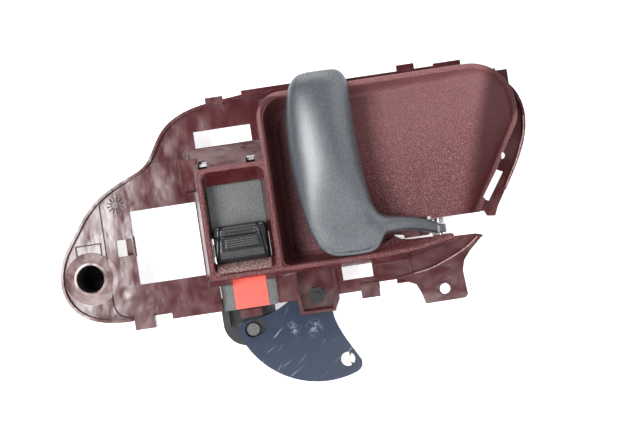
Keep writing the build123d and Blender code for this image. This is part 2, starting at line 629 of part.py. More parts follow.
# ---- rear cover of the slider, its screws and the detent spring ----
with BuildPart() as slider_cover:
    slab(COVER_X, COVER_Z, COVER_H, corner=2.0)
    slab((DETENT_X[0] - 1, DETENT_X[1] + 1), (22, 41.6), (-10, -7), mode=Mode.SUBTRACT)
    for spot in SCREW_SPOTS:
        disc(spot, SCREW_R + 0.2, (-10, -7), mode=Mode.SUBTRACT)
slider_cover.part.label = "slider_rear_cover"

with BuildPart() as cover_screws:
    for spot in SCREW_SPOTS:
        disc(spot, 3.0, (COVER_H[0] - 1.6, COVER_H[0]))
        disc(spot, SCREW_R, (COVER_H[0], -3.0))
cover_screws.part.label = "cover_screws"

with BuildPart() as detent_spring:
    across([(-9.0, 52), (-9.0, 41), (-5.6, 31), (-6.2, 31), (-9.6, 41), (-9.6, 52)], DETENT_X)
detent_spring.part.label = "detent_spring"

# ---- spring clips in the sloping panel ----
with BuildPart() as panel_clips:
    for slot in CLIP_SLOTS:
        slab((slot[0] + 0.5, slot[1] - 0.5), (57.4, 59.0), (-3, 6.5))
panel_clips.part.label = "panel_spring_clips"

# ---- each piece to its own file ----
os.makedirs("parts", exist_ok=True)
PIECES = [
    housing, pull_handle, hinge_pin, pin_push_nut, return_spring, bump_pads, latch_rod_clip,
    slider_plate, lock_flag, lock_knob, slider_arm, drive_stud, stud_washer, bellcrank,
    crank_bush, lock_rod_clip, pivot_post, post_retainer, slider_cover, cover_screws,
    detent_spring, panel_clips,
]
for piece in PIECES:
    export_step(piece.part, f"parts/{piece.part.label}.step")
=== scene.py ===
import json
import math

import bmesh
import bpy
from mathutils import Matrix, Vector


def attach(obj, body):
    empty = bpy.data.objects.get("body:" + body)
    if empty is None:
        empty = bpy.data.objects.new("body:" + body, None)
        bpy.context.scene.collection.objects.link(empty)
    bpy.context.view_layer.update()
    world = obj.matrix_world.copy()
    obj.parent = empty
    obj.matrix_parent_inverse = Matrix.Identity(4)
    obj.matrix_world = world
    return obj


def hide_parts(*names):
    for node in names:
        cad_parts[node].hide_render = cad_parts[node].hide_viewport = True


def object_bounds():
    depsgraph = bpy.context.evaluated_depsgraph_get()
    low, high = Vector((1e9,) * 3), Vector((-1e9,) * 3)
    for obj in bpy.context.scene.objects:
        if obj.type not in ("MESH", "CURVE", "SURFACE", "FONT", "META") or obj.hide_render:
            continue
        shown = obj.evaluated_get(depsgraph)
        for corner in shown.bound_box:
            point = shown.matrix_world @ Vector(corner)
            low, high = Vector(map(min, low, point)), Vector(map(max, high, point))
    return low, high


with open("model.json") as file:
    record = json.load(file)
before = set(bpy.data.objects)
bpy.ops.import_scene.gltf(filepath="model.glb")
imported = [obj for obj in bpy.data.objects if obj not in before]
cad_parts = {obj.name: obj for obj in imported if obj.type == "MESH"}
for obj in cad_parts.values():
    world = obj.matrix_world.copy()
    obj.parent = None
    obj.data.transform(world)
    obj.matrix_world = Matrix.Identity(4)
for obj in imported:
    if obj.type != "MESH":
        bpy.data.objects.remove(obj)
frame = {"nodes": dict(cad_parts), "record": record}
cad_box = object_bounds()
nodes = frame["nodes"]

# ---- places: millimetres in the CAD layout (across, height in front of the flange, up) ----
MM = 0.001
DATUM_X = 1.6
DATUM_Z = 1.3
CAMERA_AIM = (145.7, 6.0, 18.7)
CAMERA_DISTANCE = 750.0
CAMERA_ROLL = math.radians(8.5)
VIEW_WIDTH = 396.8
BACKDROP_H = -26.4
FLOOR_GAP = 0.068  # metres from the lowest point of the part to the floor
SOCKET_SHADE = 11.0  # radius of the painted shadow: the dark patch on the backdrop behind the screw socket
HINGE = (219.0, -5.5)  # across, height
ROD_HOLE = (149.7, -75.3)


def at(x, h, z):
    """A point of the CAD layout, in metres in the shared frame."""
    return Vector(((x + DATUM_X) * MM, -h * MM, (z + DATUM_Z) * MM))


# ---- node helpers ----
class Tree:
    """A material's node tree, with short calls for the nodes it needs."""

    def __init__(self, name):
        self.material = bpy.data.materials.new(name)
        self.material.use_nodes = True
        self.tree = self.material.node_tree
        self.shader = self.tree.nodes["Principled BSDF"]
        coords = self.tree.nodes.new("ShaderNodeTexCoord")
        scale = self.tree.nodes.new("ShaderNodeVectorMath")
        scale.operation = "SCALE"
        scale.inputs["Scale"].default_value = 1.0 / MM
        self.tree.links.new(coords.outputs["Object"], scale.inputs[0])
        self.place = scale.outputs["Vector"]  # object coordinates in millimetres

    def put(self, source, socket):
        """Links an output, or sets a plain value, on a socket."""
        if isinstance(source, bpy.types.NodeSocket):
            self.tree.links.new(source, socket)
        else:
            socket.default_value = source

    def noise(self, size, detail=3.0, rough=0.55, stretch=(1, 1, 1), seed=0.0, turn=0.0):
        """Noise whose features are about size millimetres across, turned in the front plane by degrees."""
        mapping = self.tree.nodes.new("ShaderNodeMapping")
        mapping.vector_type = "TEXTURE"
        mapping.inputs["Scale"].default_value = tuple(1.0 / s for s in stretch)
        mapping.inputs["Rotation"].default_value = (0.0, -math.radians(turn), 0.0)
        mapping.inputs["Location"].default_value = (seed, seed * 0.7, seed * 1.3)
        node = self.tree.nodes.new("ShaderNodeTexNoise")
        node.inputs["Scale"].default_value = 1.0 / size
        node.inputs["Detail"].default_value = detail
        node.inputs["Roughness"].default_value = rough
        self.put(self.place, mapping.inputs["Vector"])
        self.put(mapping.outputs["Vector"], node.inputs["Vector"])
        return node.outputs["Fac"]

    def cells(self, size, seed=0.0):
        """Distance to the nearest of scattered points, about size millimetres apart."""
        mapping = self.tree.nodes.new("ShaderNodeMapping")
        mapping.inputs["Location"].default_value = (seed, seed, seed)
        node = self.tree.nodes.new("ShaderNodeTexVoronoi")
        node.inputs["Scale"].default_value = 1.0 / size
        self.put(self.place, mapping.inputs["Vector"])
        self.put(mapping.outputs["Vector"], node.inputs["Vector"])
        return node.outputs["Distance"]

    def ramp(self, source, stops):
        """A value mapped through (position, value) stops."""
        node = self.tree.nodes.new("ShaderNodeValToRGB")
        elements = node.color_ramp.elements
        while len(elements) < len(stops):
            elements.new(0.5)
        for element, (position, value) in zip(elements, stops):
            element.position = position
            colour = value if isinstance(value, tuple) else (value, value, value)
            element.color = (*colour, 1.0)
        self.put(source, node.inputs["Fac"])
        return node.outputs["Color"]

    def math(self, operation, a, b=0.0):
        """One arithmetic step."""
        node = self.tree.nodes.new("ShaderNodeMath")
        node.operation = operation
        self.put(a, node.inputs[0])
        self.put(b, node.inputs[1])
        return node.outputs["Value"]

    def mix(self, share, a, b):
        """Colour a changing to colour b with share."""
        node = self.tree.nodes.new("ShaderNodeMix")
        node.data_type = "RGBA"
        self.put(share, node.inputs["Factor"])
        for value, socket in ((a, node.inputs[6]), (b, node.inputs[7])):
            if isinstance(value, tuple):
                value = (*value, 1.0)
            self.put(value, socket)
        return node.outputs[2]

    def axes(self):
        """The three coordinates in millimetres: across, depth, up."""
        node = self.tree.nodes.new("ShaderNodeSeparateXYZ")
        self.put(self.place, node.inputs[0])
        return node.outputs

    def step(self, value, low, high):
        """0 below low, 1 above high, smooth between."""
        node = self.tree.nodes.new("ShaderNodeMapRange")
        node.interpolation_type = "SMOOTHSTEP"
        node.inputs["From Min"].default_value = low
        node.inputs["From Max"].default_value = high
        self.put(value, node.inputs["Value"])
        return node.outputs["Result"]

    def bump(self, height, strength, distance, normal=None):
        """A bump node; distance is the relief in millimetres."""
        node = self.tree.nodes.new("ShaderNodeBump")
        node.inputs["Distance"].default_value = distance * MM
        self.put(strength, node.inputs["Strength"])
        self.put(height, node.inputs["Height"])
        if normal is not None:
            self.put(normal, node.inputs["Normal"])
        return node.outputs["Normal"]

    def round_edges(self, radius):
        """The normal with sharp edges rounded over the radius, in millimetres."""
        node = self.tree.nodes.new("ShaderNodeBevel")
        node.samples = 4
        node.inputs["Radius"].default_value = radius * MM
        return node.outputs["Normal"]

    def finish(self, colour, roughness, normal, metallic=0.0, specular=0.5):
        """Sets the shader and returns the material."""
        self.put(colour, self.shader.inputs["Base Color"])
        self.put(roughness, self.shader.inputs["Roughness"])
        self.put(normal, self.shader.inputs["Normal"])
        self.put(specular, self.shader.inputs["Specular IOR Level"])
        self.shader.inputs["Metallic"].default_value = metallic
        return self.material


# ---- materials ----
# edges of the painted areas in object millimetres, which include the datum shift: each is a pair,
# the place where the paint starts to show and the place where it is full
DISH_LEFT = (119.0, 121.0)
DISH_SLANT = 0.57  # across per up along the slanting right side
DISH_RIGHT = (240.5, 237.5)  # how far across that side is where up is zero
DISH_LOW = (-10.5, -9.5)
DISH_TOP = (95.6, 94.6)
RIM_DEPTH = (-11.2, -12.0)
LEDGE_DEPTH = (-0.6, -1.4)
LEDGE_LEFT = (79.0, 80.0)
LEDGE_RIGHT = (113.6, 112.8)
LEDGE_LOW = (-9.2, -8.6)
LEDGE_TOP = (-2.4, -3.2)
# the same for the screw boss, as squares of the distance from its axis
FLARE_TOP = (82.0, 96.0)
FLARE_FOOT = (300.0, 262.0)
SOCKET_MOUTH = (90.0, 78.0)


def product(t, *shares):
    """All the shares multiplied together."""
    result = shares[0]
    for share in shares[1:]:
        result = t.math("MULTIPLY", result, share)
    return result


def dish_mask(t):
    """Inside the dish, left of its slanting right side."""
    x, _, z = t.axes()
    slant = t.math("SUBTRACT", x, t.math("MULTIPLY", z, DISH_SLANT))
    sides = (t.step(x, *DISH_LEFT), t.step(slant, *DISH_RIGHT))
    return product(t, *sides, t.step(z, *DISH_LOW), t.step(z, *DISH_TOP))


def ledge_mask(t):
    """The ledge at the bottom of the well."""
    x, y, z = t.axes()
    sides = (t.step(x, *LEDGE_LEFT), t.step(x, *LEDGE_RIGHT))
    height = product(t, t.step(z, *LEDGE_TOP), t.step(z, *LEDGE_LOW))
    return product(t, t.step(y, *LEDGE_DEPTH), *sides, height)


def painted_wall_shade_mask(t, in_dish):
    """The left wall and the slanting right wall of the dish, where shade is painted darker than its floor."""
    x, _, z = t.axes()
    left_wall = t.step(x, 141.0, 127.0)
    right_wall = t.step(t.math("SUBTRACT", x, t.math("MULTIPLY", z, 0.30)), 229.0, 240.0)
    walls = t.math("MAXIMUM", t.math("MULTIPLY", left_wall, 0.85), right_wall)
    return t.math("MULTIPLY", in_dish, walls)


def boss_masks(t):
    """The flared foot of the screw boss with a painted sheen, stronger near its bottom as a painted
    highlight, and the inside of its socket, where shade is painted.
    """
    x, y, z = t.axes()
    area = t.math("ADD", t.math("POWER", x, 2.0), t.math("POWER", z, 2.0))
    flare_sheen = product(t, t.step(area, *FLARE_TOP), t.step(area, *FLARE_FOOT), t.step(y, 8.0, 4.0))
    # painted sheen: patchy, with a painted highlight added towards the bottom
    pale = t.ramp(t.noise(6.0, detail=3.0, rough=0.6, seed=11.0), [(0.40, 0.25), (0.62, 0.80)])
    pale = t.math("ADD", pale, t.math("MULTIPLY", t.step(z, -6.0, -13.0), 0.35))
    # painted shade inside the screw socket
    socket = t.math("MULTIPLY", t.step(area, *SOCKET_MOUTH), t.step(y, -2.0, 4.0))
    return t.math("MULTIPLY", flare_sheen, pale), socket


def bezel_plastic():
    """Maroon acetal: coarse sparkling grain on the faces that show in the car, smooth elsewhere."""
    t = Tree("bezel_plastic")
    _, y, z = t.axes()
    in_dish = dish_mask(t)
    ledge = ledge_mask(t)
    painted_wall_shade = painted_wall_shade_mask(t, in_dish)
    flare_sheen, socket = boss_masks(t)
    rims = t.step(y, *RIM_DEPTH)
    grained = t.math("MAXIMUM", in_dish, t.math("MAXIMUM", rims, ledge))
    # colour of the grain, with painted shade on the dish's walls, painted light towards the top of the dish
    # and a painted highlight on the ledge
    sparkle = t.ramp(t.noise(0.56, detail=1.0, seed=7.0), [(0.51, 0.0), (0.63, 1.0)])
    cloud = t.noise(28.0, detail=2.0, seed=2.0)
    deep = t.mix(cloud, (0.046, 0.007, 0.009), (0.064, 0.011, 0.013))
    grainy = t.mix(sparkle, deep, (0.225, 0.075, 0.075))
    # painted light: the grain turns lighter towards the top of the dish
    grainy = t.mix(t.math("MULTIPLY", t.step(z, 20.0, 96.0), 0.30), grainy, (0.30, 0.13, 0.135))
    # painted highlight: the ledge's grain is lighter
    grainy = t.mix(ledge, grainy, t.mix(sparkle, (0.11, 0.045, 0.043), (0.62, 0.46, 0.43)))
    # painted shade: the dish's left and slanting right walls are darkened
    grainy = t.mix(t.math("MULTIPLY", painted_wall_shade, 0.85), grainy, (0.030, 0.004, 0.005))
    # colour of the smooth faces, with a painted sheen on the boss's flared foot and painted shade inside its
    # socket
    flow = t.noise(8.0, detail=2.0, rough=0.5, stretch=(1.0, 1.0, 0.6), seed=5.0)
    streaks = t.ramp(flow, [(0.42, 0.0), (0.68, 1.0)])
    smooth = t.mix(streaks, (0.054, 0.009, 0.011), (0.072, 0.015, 0.017))
    colour = t.mix(grained, smooth, grainy)
    # painted sheen on the boss's flared foot
    colour = t.mix(flare_sheen, colour, (0.25, 0.19, 0.185))
    # painted shade inside the screw socket
    colour = t.mix(socket, colour, (0.003, 0.002, 0.002))
    # roughness and gloss
    grain = t.noise(0.75, detail=2.0, rough=0.6)
    rough_smooth = t.mix(socket, t.ramp(flow, [(0.35, 0.15), (0.70, 0.27)]), (0.95, 0.95, 0.95))
    roughness = t.mix(grained, rough_smooth, t.ramp(grain, [(0.30, 0.42), (0.70, 0.66)]))
    gloss_grain = t.mix(painted_wall_shade, (0.40, 0.40, 0.40), (0.20, 0.20, 0.20))
    gloss = t.mix(grained, (0.6, 0.6, 0.6), gloss_grain)
    # relief: the grain, then the slow waves that the mould leaves
    relief = t.math("ADD", grain, t.math("MULTIPLY", t.cells(0.85, seed=3.0), 0.7))
    normal = t.bump(relief, t.math("MULTIPLY", grained, 0.85), 0.30, t.round_edges(0.45))
    swirl = t.noise(22.0, detail=1.5, stretch=(0.8, 1.0, 1.0), seed=8.0)
    normal = t.bump(t.math("ADD", flow, t.math("MULTIPLY", swirl, 5.0)), 0.30, 0.7, normal)
    return t.finish(colour, roughness, normal, specular=gloss)


def handle_plastic():
    """Blue-grey lever: satin, very fine grain, lighter specks."""
    t = Tree("handle_plastic")
    grain = t.noise(0.55, detail=2.0)
    specks = t.ramp(t.noise(0.6, detail=1.0, seed=4.0), [(0.52, 0.0), (0.70, 1.0)])
    cloud = t.noise(30.0, detail=2.0, seed=1.0)
    base = t.mix(cloud, (0.026, 0.032, 0.042), (0.036, 0.042, 0.052))
    colour = t.mix(t.math("MULTIPLY", specks, 0.50), base, (0.16, 0.17, 0.18))
    roughness = t.ramp(grain, [(0.30, 0.30), (0.70, 0.40)])
    return t.finish(colour, roughness, t.bump(grain, 0.55, 0.16), specular=0.95)


def grained_plastic(name, dark, light, grain_size, rough, relief):
    """Moulded plastic with a fine speckled grain."""
    t = Tree(name)
    grain = t.noise(grain_size, detail=2.0)
    broad = t.noise(14.0, detail=3.0, seed=6.0)
    colour = t.mix(t.ramp(grain, [(0.38, 0.0), (0.64, 1.0)]), dark, light)
    colour = t.mix(t.math("MULTIPLY", broad, 0.25), colour, dark)
    roughness = t.ramp(broad, [(0.30, rough[0]), (0.70, rough[1])])
    return t.finish(colour, roughness, t.bump(grain, 0.6, relief))


# scratches of the navy lever: width in millimetres, direction in degrees, seed, noise level they start at
SCRATCHES = [(0.9, 40.0, 9.0, 0.690), (0.8, 30.0, 21.0, 0.695), (0.8, 55.0, 15.0, 0.70)]
# its rubbed patches: centre (across, up) and radius in object millimetres, seed
RUBBED_PATCHES = [((120.0, -49.5), 6.0, 2.0), ((133.5, -51.5), 7.5, 6.0)]


def crank_plastic():
    """Navy lever with fine slanting scratches and two pale rubbed patches."""
    t = Tree("crank_plastic")
    x, _, z = t.axes()
    broad = t.noise(16.0, detail=5.0, rough=0.62, seed=3.0)
    base = t.mix(broad, (0.008, 0.015, 0.034), (0.017, 0.030, 0.058))
    marks = 0.0
    for size, turn, seed, low in SCRATCHES:
        fine = t.noise(size, detail=1.0, stretch=(0.04, 1.0, 1.0), seed=seed, turn=turn)
        where = t.step(t.noise(19.0, detail=1.0, seed=seed + 2.0), 0.44, 0.58)
        scratch = t.ramp(fine, [(low, 0.0), (low + 0.05, 1.0)])
        marks = t.math("MAXIMUM", marks, t.math("MULTIPLY", scratch, where))
    for centre, reach, seed in RUBBED_PATCHES:
        away = [t.math("POWER", t.math("SUBTRACT", axis, c), 2.0) for axis, c in zip((x, z), centre)]
        near = t.step(t.math("SQRT", t.math("ADD", *away)), reach, 1.0)
        rubbed = t.ramp(t.noise(2.6, detail=4.0, rough=0.7, seed=seed), [(0.48, 0.0), (0.66, 1.0)])
        marks = t.math("MAXIMUM", marks, t.math("MULTIPLY", near, rubbed))
    colour = t.mix(t.math("MULTIPLY", marks, 0.55), base, (0.32, 0.38, 0.47))
    roughness = t.ramp(broad, [(0.30, 0.15), (0.72, 0.23)])
    normal = t.bump(marks, 0.25, 0.08)
    return t.finish(colour, roughness, t.bump(broad, 0.15, 0.4, normal), specular=0.45)


def metal(name, colour, rough, size):
    """Plain metal with slight unevenness."""
    t = Tree(name)
    wear = t.noise(size, detail=4.0)
    shade = t.mix(wear, tuple(0.72 * c for c in colour), colour)
    roughness = t.ramp(wear, [(0.30, rough * 0.7), (0.70, min(1.0, rough * 1.35))])
    return t.finish(shade, roughness, t.bump(wear, 0.25, 0.08), metallic=1.0)


# fine-grained plastics: dark and light colour, grain in millimetres, roughness range, relief
PLASTICS = {
    "slider_plastic": ((0.045, 0.048, 0.048), (0.160, 0.165, 0.160), 0.58, (0.42, 0.60), 0.15),
    "flag_plastic": ((0.74, 0.065, 0.045), (1.0, 0.115, 0.085), 0.7, (0.42, 0.60), 0.15),
    "knob_plastic": ((0.009, 0.010, 0.011), (0.017, 0.018, 0.020), 0.5, (0.16, 0.22), 0.05),
    "arm_plastic": ((0.005, 0.005, 0.005), (0.011, 0.011, 0.011), 0.8, (0.24, 0.34), 0.08),
    "cover_plastic": ((0.012, 0.012, 0.013), (0.024, 0.024, 0.025), 0.9, (0.40, 0.55), 0.08),
    "clip_nylon": ((0.62, 0.62, 0.58), (0.80, 0.80, 0.76), 1.2, (0.32, 0.45), 0.05),
    "bush_nylon": ((0.56, 0.56, 0.52), (0.72, 0.72, 0.68), 1.2, (0.32, 0.45), 0.05),
    "pad_rubber": ((0.010, 0.010, 0.010), (0.020, 0.020, 0.020), 0.8, (0.70, 0.85), 0.05),
    # pale colour of the crest ribs: painted highlight
    "painted_highlight_edge": ((0.20, 0.090, 0.090), (0.46, 0.30, 0.30), 1.2, (0.20, 0.32), 0.03),
    # dark colour of the raised marks: painted shade
    "painted_shade_marks": ((0.016, 0.004, 0.005), (0.030, 0.007, 0.008), 0.8, (0.45, 0.60), 0.04),
}
# metals: colour, roughness, size of the unevenness in millimetres
METALS = {
    "pin_steel": ((0.55, 0.55, 0.54), 0.30, 0.5),
    "spring_steel": ((0.66, 0.66, 0.65), 0.25, 0.5),
    "screw_steel": ((0.55, 0.54, 0.50), 0.32, 0.5),
    "stud_zinc": ((0.14, 0.14, 0.14), 0.60, 1.1),
}
MATERIALS = {
    "bezel_plastic": bezel_plastic(),
    "handle_plastic": handle_plastic(),
    "crank_plastic": crank_plastic(),
}
MATERIALS.update({name: grained_plastic(name, *values) for name, values in PLASTICS.items()})
MATERIALS.update({name: metal(name, *values) for name, values in METALS.items()})
SLOT_OF = {row["node"]: row["material_slot"] for row in frame["record"]["subparts"]}


def paint_nodes():
    """Gives every CAD node the material of its record slot."""
    for name, node in nodes.items():
        node.data.materials.clear()
        node.data.materials.append(MATERIALS[SLOT_OF[name]])


# ---- mesh tools ----
def new_piece(name, points, faces, body, slot, sharp=35.0):
    """A mesh object from points in metres; it rides on a body and takes a record slot's material."""
    mesh = bpy.data.meshes.new(name)
    mesh.from_pydata([tuple(p) for p in points], [], faces)
    tidy = bmesh.new()
    tidy.from_mesh(mesh)
    bmesh.ops.remove_doubles(tidy, verts=tidy.verts, dist=1e-6)
    bmesh.ops.recalc_face_normals(tidy, faces=tidy.faces)
    tidy.to_mesh(mesh)
    tidy.free()
    piece = bpy.data.objects.new(name, mesh)
    bpy.context.scene.collection.objects.link(piece)
    mesh.materials.append(MATERIALS[slot])
    mesh.shade_smooth()
    mesh.set_sharp_from_angle(angle=math.radians(sharp))
    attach(piece, body)
    return piece


def grid_faces(rows, columns, closed=False):
    """Quads over a grid of points, row by row; closed joins the last column to the first."""
    faces = []
    for r in range(rows - 1):
        for c in range(columns if closed else columns - 1):
            nxt = (c + 1) % columns
            faces.append((r * columns + c, r * columns + nxt, (r + 1) * columns + nxt, (r + 1) * columns + c))
    return faces


LATHE_STEPS = 48
MARK_EDGE = 0.15
EDGE_SEGMENTS = 2
EDGE_ANGLE = math.radians(30.0)


def round_off(piece, width):
    """A bevel on the sharp edges; width is in millimetres."""
    bevel = piece.modifiers.new("round", "BEVEL")
    bevel.width = width * MM
    bevel.segments = EDGE_SEGMENTS
    bevel.limit_method = "ANGLE"
    bevel.angle_limit = EDGE_ANGLE


def raised_mark(name, outline, h):
    """An outline of (across, up) points made solid over the height range h, as a moulded mark coloured dark
    as painted shade.
    """
    count = len(outline)
    points = [at(x, level, z) for level in h for x, z in outline]
    faces = [tuple(range(count)), tuple(range(2 * count - 1, count - 1, -1))]
    for k in range(count):
        nxt = (k + 1) % count
        faces.append((k, nxt, count + nxt, count + k))
    mark = new_piece(name, points, faces, "root", "bezel_plastic")
    # painted shade: the mark takes the dark material
    mark.data.materials[0] = MATERIALS["painted_shade_marks"]
    round_off(mark, MARK_EDGE)


def lathe(name, centre, profile, body, slot, upright=False):
    """A profile of (radius, position) turned about a line that points at the cabin, or up."""
    steps = LATHE_STEPS
    points = []
    for radius, along in profile:
        for k in range(steps):
            turn = 2 * math.pi * k / steps
            a, b = radius * math.cos(turn), radius * math.sin(turn)
            if upright:
                points.append(at(centre[0] + a, centre[1] + b, along))
            else:
                points.append(at(centre[0] + a, along, centre[1] + b))
    faces = grid_faces(len(profile), steps, closed=True)
    last = (len(profile) - 1) * steps
    if profile[0] != profile[-1]:
        faces.append(tuple(range(steps)))
        faces.append(tuple(range(last + steps - 1, last - 1, -1)))
    return new_piece(name, points, faces, body, slot)


def smooth_run(rows, steps):
    """Rows of numbers joined by a Catmull-Rom curve, with steps points between neighbours."""
    result = []
    for k in range(len(rows) - 1):
        before, start, end, after = (rows[min(max(k + j, 0), len(rows) - 1)] for j in (-1, 0, 1, 2))
        for j in range(steps):
            u = j / steps
            blend = []
            for a, b, c, d in zip(before, start, end, after):
                square = 2 * a - 5 * b + 4 * c - d
                cube = 3 * b - a - 3 * c + d
                blend.append(0.5 * (2 * b + (c - a) * u + square * u * u + cube * u**3))
            result.append(blend)
    result.append(list(rows[-1]))
    return result


def ease(value, low, high):
    """Smooth step from 0 at low to 1 at high."""
    u = min(max((value - low) / (high - low), 0.0), 1.0)
    return u * u * (3 - 2 * u)


def inside(value, ends, fade):
    """1 well between the two ends, with a smooth rise over fade inside each of them."""
    low, high = ends
    return ease(value, low, low + fade) * ease(-value, -high, fade - high)


# ---- pull handle ----
# sections from the tip to the hinge: left point, right point, height of the edge and of the crown,
# place of the crown between the two points, fullness of the curve
HANDLE_SECTIONS = [
    (150.0, 104.6, 162.0, 104.7, 17.0, 17.6, 0.50, 2.0),
    (143.6, 103.6, 168.6, 103.8, 15.6, 20.2, 0.52, 2.3),
    (138.6, 98.6, 172.8, 99.2, 14.8, 22.8, 0.54, 2.4),
    (135.6, 91.0, 174.2, 91.0, 14.4, 24.6, 0.56, 2.3),
    (133.2, 78.0, 174.3, 78.0, 14.1, 26.2, 0.60, 2.1),
    (132.4, 62.0, 174.3, 62.0, 14.0, 26.8, 0.62, 2.1),
    (132.9, 42.0, 175.4, 42.0, 14.0, 26.4, 0.62, 2.1),
    (135.2, 22.0, 177.6, 23.0, 14.0, 23.6, 0.56, 2.8),
    (138.2, 8.0, 178.9, 18.6, 14.0, 21.4, 0.50, 3.2),
    (143.2, -3.4, 179.7, 16.6, 13.9, 20.6, 0.50, 3.2),
    (150.0, -8.8, 180.6, 14.8, 13.5, 20.0, 0.50, 3.2),
    (160.0, -10.1, 181.7, 13.4, 12.8, 19.4, 0.50, 3.0),
    (170.0, -10.2, 183.0, 12.3, 12.4, 18.4, 0.48, 3.0),
    (176.6, -8.8, 184.6, 11.4, 11.8, 17.4, 0.46, 3.0),
    (180.4, -5.0, 186.6, 10.8, 11.0, 16.2, 0.44, 3.0),
    (182.8, -1.2, 189.2, 10.2, 9.8, 14.6, 0.40, 3.0),
    (186.6, 0.1, 192.8, 9.5, 8.4, 12.6, 0.38, 3.0),
    (191.5, 0.2, 197.2, 8.7, 6.4, 10.4, 0.36, 3.0),
    (198.5, -0.4, 203.0, 7.5, 3.2, 6.8, 0.36, 3.0),
    (206.0, -2.1, 209.2, 5.6, -0.2, 2.8, 0.36, 3.0),
    (213.8, -4.2, 215.6, 2.9, -4.0, -1.2, 0.38, 3.0),
    (221.4, -4.9, 222.0, -0.8, -7.6, -3.8, 0.40, 3.0),
]
ELBOW = (186.0, 2.0)
ELBOW_REACH = (15.0, 20.0)
ELBOW_RISE = 2.4
LIP_WIDTH = 3.4  # the foot of the lever ends in a lip this wide, set off by a shallow groove
LIP_GROOVE = (1.1, 0.8)  # depth and half width of that groove
HANDLE_WALL = 2.3
HANDLE_STEPS = 4  # steps from one listed section to the next
HANDLE_SPAN = 44  # quads across a section
RIB_SECTIONS = (12, 18, 24, 30)  # where the ribs are, counted in those steps from the tip
RIB_HALF = 0.7


def handle_section(section):
    """Points of one cross-section, from the left edge over the crown to the right edge."""
    x0, z0, x1, z1, edge, crown, share, full = section
    points = []
    for k in range(HANDLE_SPAN + 1):
        u = (1 - math.cos(math.pi * k / HANDLE_SPAN)) / 2
        gap = (share - u) / share if u < share else (u - share) / (1 - share)
        rise = (1 - min(gap, 1.0) ** full) ** (1 / full)
        x, z = x0 + (x1 - x0) * u, z0 + (z1 - z0) * u
        # the elbow swells where the arm joins
        away = ((x - ELBOW[0]) / ELBOW_REACH[0]) ** 2 + ((z - ELBOW[1]) / ELBOW_REACH[1]) ** 2
        h = edge + (crown - edge) * rise + ELBOW_RISE * rise * math.exp(-away)
        reach = math.hypot(x - x0, z - z0)
        foot = ease(x0, 143.0, 150.0) * (1 - ease(x0, 174.0, 180.0))
        h -= LIP_GROOVE[0] * foot * math.exp(-(((reach - LIP_WIDTH) / LIP_GROOVE[1]) ** 2))
        points.append((x, h, z))
    return points


def make_handle():
    """The lever: a hollow shell with ribs across its back, the hinge barrel and the rod tail."""
    sections = smooth_run(HANDLE_SECTIONS, HANDLE_STEPS)
    rows = [[at(*p) for p in handle_section(section)] for section in sections]
    faces = grid_faces(len(rows), HANDLE_SPAN + 1)
    # the tip and the foot are closed by their own end faces
    last = (len(rows) - 1) * (HANDLE_SPAN + 1)
    faces.append(tuple(range(HANDLE_SPAN + 1)))
    faces.append(tuple(range(last, last + HANDLE_SPAN + 1)))
    points = [p for row in rows for p in row]
    shell = new_piece("pull_handle_shell", points, faces, "pull_lever", "handle_plastic", 60.0)
    wall = shell.modifiers.new("wall", "SOLIDIFY")
    wall.thickness = HANDLE_WALL * MM
    wall.offset = -1.0
    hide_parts("pull_handle")
    for k, index in enumerate(RIB_SECTIONS):
        make_rib(f"pull_handle_rib_{k + 1}", sections[index])
    make_barrel()


def make_rib(name, section):
    """A thin rib across the hollow back, following the inside of the shell."""
    inner = handle_section(section)[4:-4]
    low = section[4] + 1.0
    top = [(x, max(h - HANDLE_WALL + 0.4, low + 0.4), z) for x, h, z in inner]
    points = []
    for side in (-RIB_HALF, RIB_HALF):
        points += [at(x, h, z + side) for x, h, z in top]
        points += [at(x, low, z + side) for x, _, z in top]
    n = len(top)
    faces = []
    for k in range(n - 1):
        faces.append((k, k + 1, n + k + 1, n + k))
        faces.append((2 * n + k, 2 * n + k + 1, 3 * n + k + 1, 3 * n + k))
        faces.append((k, k + 1, 2 * n + k + 1, 2 * n + k))
        faces.append((n + k, n + k + 1, 3 * n + k + 1, 3 * n + k))
    faces.append((0, n, 3 * n, 2 * n))
    faces.append((n - 1, 2 * n - 1, 4 * n - 1, 3 * n - 1))
    new_piece(name, points, faces, "pull_lever", "handle_plastic")


def make_barrel():
    """Hinge barrel with its bore, and the tail that pulls the latch rod."""
    barrel = [(1.55, -5.0), (3.4, -5.0), (3.8, -4.6), (3.8, -0.1), (3.4, 0.3), (1.55, 0.3), (1.55, -5.0)]
    lathe("pull_handle_barrel", HINGE, barrel, "pull_lever", "handle_plastic", upright=True)
    eye = (HINGE[0] - 2.0, -20.0)
    ring = [(2.2, -4.8), (3.6, -4.8), (4.0, -4.4), (4.0, -1.8), (3.6, -1.4), (2.2, -1.4), (2.2, -4.8)]
    lathe("pull_handle_eye", eye, ring, "pull_lever", "handle_plastic", upright=True)
    sides = [(215.8, -7.0), (222.2, -7.0), (220.2, -17.4), (214.4, -17.4)]
    points = [at(x, h, z) for z in (-4.8, -1.4) for x, h in sides]
    faces = [(0, 1, 2, 3), (7, 6, 5, 4)] + [(k, (k + 1) % 4, 4 + (k + 1) % 4, 4 + k) for k in range(4)]
    tail = new_piece("pull_handle_tail", points, faces, "pull_lever", "handle_plastic")
    round_off(tail, 0.5)


# ---- lock knob ----
KNOB_X = (77.6, 111.4)
KNOB_Z = (-3.8, 19.3)
